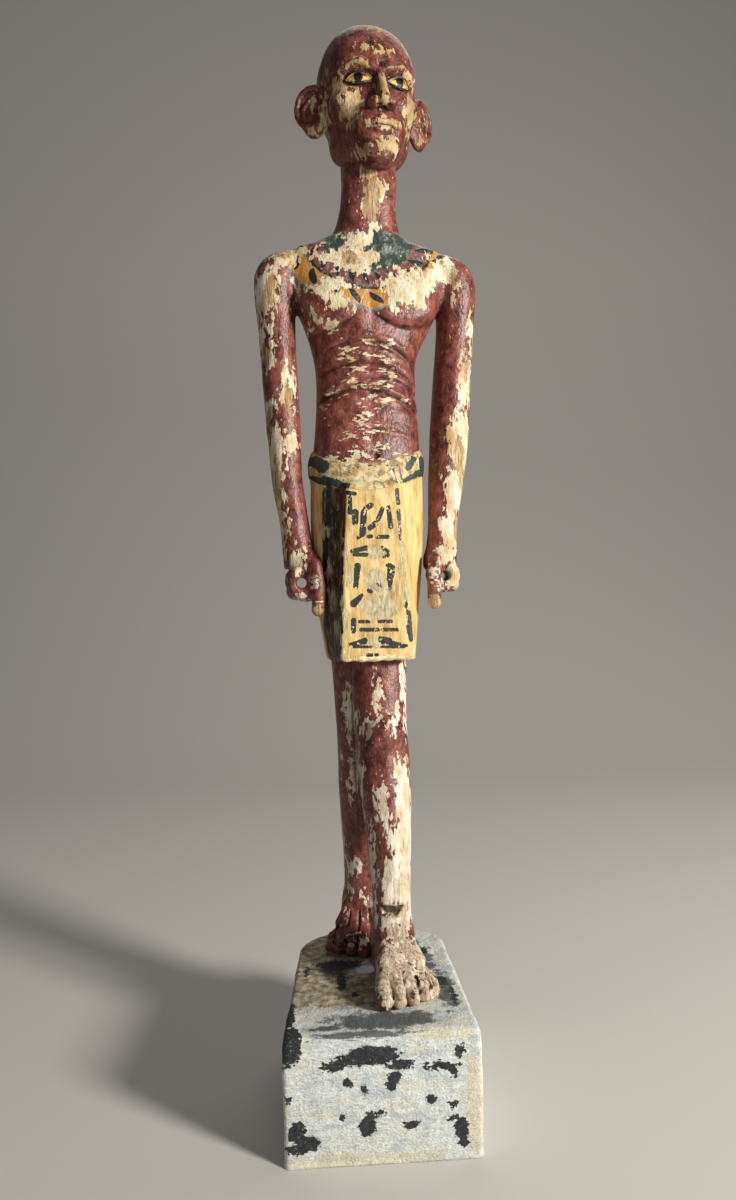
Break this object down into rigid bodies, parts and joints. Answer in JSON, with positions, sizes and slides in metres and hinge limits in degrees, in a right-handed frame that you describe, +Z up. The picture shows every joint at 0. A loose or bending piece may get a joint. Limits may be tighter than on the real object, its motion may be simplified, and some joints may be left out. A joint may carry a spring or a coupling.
{
  "type": "priest statue",
  "caption": "Carved and painted wooden figure of a striding shaven-headed priest in a kilt with a stiff front panel, fists bored for a staff, on a block plinth.",
  "frame": {"origin": "middle of the plinth's underside", "axes": "+Z up, -Y out of the plinth's front, +X towards the figure's left hand"},
  "size_m": [0.2055, 0.2074, 0.9529],
  "materials": {
    "figure_wood": "worn distemper paint over gesso, red-brown skin and ochre kilt",
    "plinth_wood": "chalky white paint worn through to a dark ground"
  },
  "bodies": {
    "root": {"figure": "figure_wood", "plinth": "plinth_wood"}
  },
  "joints": []
}
